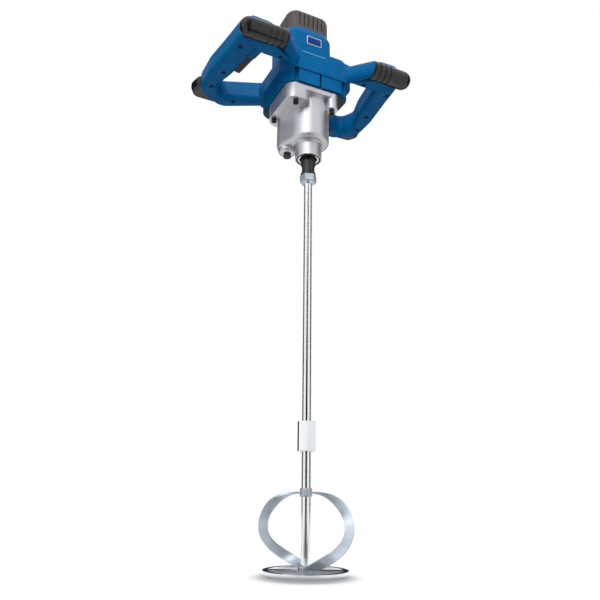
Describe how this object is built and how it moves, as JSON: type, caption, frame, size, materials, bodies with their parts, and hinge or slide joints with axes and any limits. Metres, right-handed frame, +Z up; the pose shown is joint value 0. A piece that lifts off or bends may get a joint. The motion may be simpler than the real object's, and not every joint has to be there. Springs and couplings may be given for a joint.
{
  "type": "mixing drill",
  "caption": "Two-handled electric mixing drill with side grips, closed loop handles, a geared spindle and a screw-on stirring paddle with twisted blades on a ring foot.",
  "frame": {"origin": "on the floor under the centre of the paddle ring, on the spindle axis", "axes": "+Z up along the spindle, -Y the front with the badge place, +X to the right seen from the front"},
  "size_m": [0.3188, 0.2151, 0.852],
  "materials": {
    "blue_shell": "strong blue moulded nylon, satin",
    "black_rubber": "black soft-touch rubber",
    "grey_cap": "warm dark grey moulded plastic",
    "black_plastic": "black moulded plastic",
    "die_cast": "bright bead-blasted die casting",
    "seal_paper": "black gasket sheet",
    "bright_steel": "bright zinc plated steel",
    "dark_steel": "black oxide steel",
    "black_screw": "black phosphate screws",
    "gear_steel": "ground gear steel, oiled",
    "bearing_steel": "polished bearing steel",
    "bush_bronze": "sintered bronze",
    "copper": "lacquered copper",
    "lamination": "stacked steel sheet",
    "carbon": "pressed carbon"
  },
  "bodies": {
    "housing": {"bearing_bridge": "die_cast", "brush_holders": "black_plastic", "cap_screws": "black_screw", "carbon_brushes": "carbon", "cord_inlet": "black_plastic", "field_coils": "copper", "gasket": "seal_paper", "gear_housing": "die_cast", "gear_housing_screws": "black_screw", "gear_plate": "die_cast", "handle_screws": "black_screw", "layshaft_lower_bush": "bush_bronze", "layshaft_plug": "black_plastic", "layshaft_upper_bush": "bush_bronze", "ledge_screws": "black_screw", "left_corner_pad": "black_rubber", "left_horn_grip": "black_rubber", "lock_spring": "dark_steel", "lower_housing": "blue_shell", "lower_motor_outer_race": "bearing_steel", "lower_spindle_outer_race": "bearing_steel", "nose_ring": "bright_steel", "right_corner_pad": "black_rubber", "right_horn_grip": "black_rubber", "speed_controller": "black_plastic", "spindle_seal": "black_rubber", "stator_core": "lamination", "switch_module": "black_plastic", "top_cap": "grey_cap", "upper_housing": "blue_shell", "upper_motor_outer_race": "bearing_steel", "upper_spindle_outer_race": "bearing_steel"},
    "spindle": {"spindle": "dark_steel", "output_gear": "gear_steel", "gear_key": "dark_steel", "spindle_circlip": "dark_steel", "lower_spindle_inner_race": "bearing_steel", "upper_spindle_inner_race": "bearing_steel", "lock_nut": "bright_steel", "upper_rod": "bright_steel", "coupling_nut": "bright_steel", "lower_rod": "bright_steel", "blade_hub": "bright_steel", "front_blade": "bright_steel", "back_blade": "bright_steel", "paddle_ring": "bright_steel"},
    "layshaft": {"layshaft": "gear_steel", "layshaft_gear": "gear_steel"},
    "armature": {"armature_shaft": "gear_steel", "rotor_core": "lamination", "rotor_windings": "copper", "commutator": "copper", "fan": "black_plastic", "lower_motor_inner_race": "bearing_steel", "upper_motor_inner_race": "bearing_steel"},
    "trigger": {"trigger": "black_plastic", "trigger_spring": "dark_steel"},
    "lock_button": {"lock_button": "black_plastic"},
    "speed_dial": {"speed_dial": "black_plastic"}
  },
  "joints": [
    {"name": "spindle_spin", "type": "hinge", "parent": "housing", "child": "spindle", "pos_m": [0, 0, 0], "axis": [0, 0, 1], "continuous": true},
    {"name": "layshaft_spin", "type": "hinge", "parent": "housing", "child": "layshaft", "pos_m": [-0.02015, 0.02222, 0], "axis": [0, 0, 1], "continuous": true},
    {"name": "armature_spin", "type": "hinge", "parent": "housing", "child": "armature", "pos_m": [0, 0.03, 0], "axis": [0, 0, 1], "continuous": true},
    {"name": "trigger_press", "type": "slide", "parent": "housing", "child": "trigger", "axis": [-0.9846, -0.1751, 0], "range_m": [0, 0.005], "stiffness_N_per_m": 900, "springref_m": -0.004},
    {"name": "lock_press", "type": "slide", "parent": "housing", "child": "lock_button", "axis": [0, 0, -1], "range_m": [0, 0.003], "stiffness_N_per_m": 600, "springref_m": -0.003, "deforming": ["lock_spring"]},
    {"name": "speed_turn", "type": "hinge", "parent": "housing", "child": "speed_dial", "pos_m": [-0.12456, -0.01403, 0.7511], "axis": [1, 0, 0], "range_deg": [-140, 140]}
  ],
  "couplings": [
    {"joint": "layshaft_spin", "follows": "spindle_spin", "ratio": -3},
    {"joint": "armature_spin", "follows": "spindle_spin", "ratio": 13.2}
  ]
}
